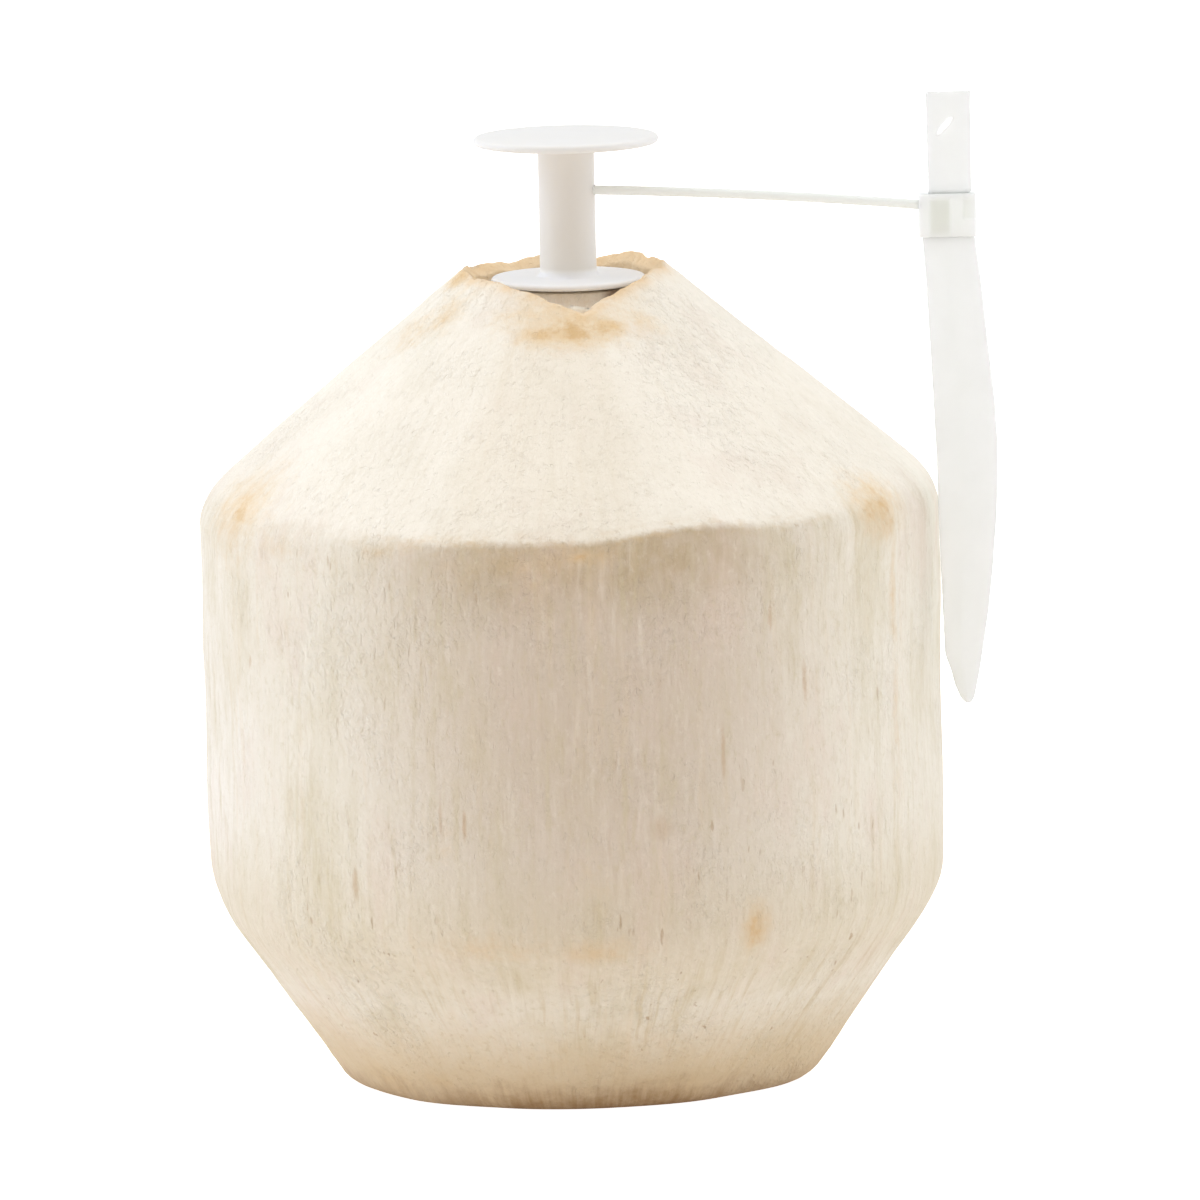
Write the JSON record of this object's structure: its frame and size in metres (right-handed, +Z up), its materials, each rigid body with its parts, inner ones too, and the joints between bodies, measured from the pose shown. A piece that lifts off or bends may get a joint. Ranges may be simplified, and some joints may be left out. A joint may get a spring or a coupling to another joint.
{
  "type": "trimmed young coconut with stopper",
  "caption": "Young coconut pared to its pale husk, with a flat base, conical ends and a notched top opening, closed by a stopper whose side arm holds a hanging scoop.",
  "frame": {"origin": "centre of the flat base, on the axis of the fruit", "axes": "+Z up the fruit's axis; -Y is the front, towards which the notch of the opening points; +X is the side on which the scoop hangs"},
  "size_m": [0.1242, 0.1156, 0.1549],
  "materials": {
    "husk": "dry pared fibrous husk with fine upright streaks and tan stains, matt",
    "white_plastic": "smooth white moulding, satin",
    "milky_plastic": "milky see-through moulding, smooth"
  },
  "bodies": {
    "root": {"coconut": "husk", "stopper": "white_plastic", "scoop": "milky_plastic"}
  },
  "joints": []
}
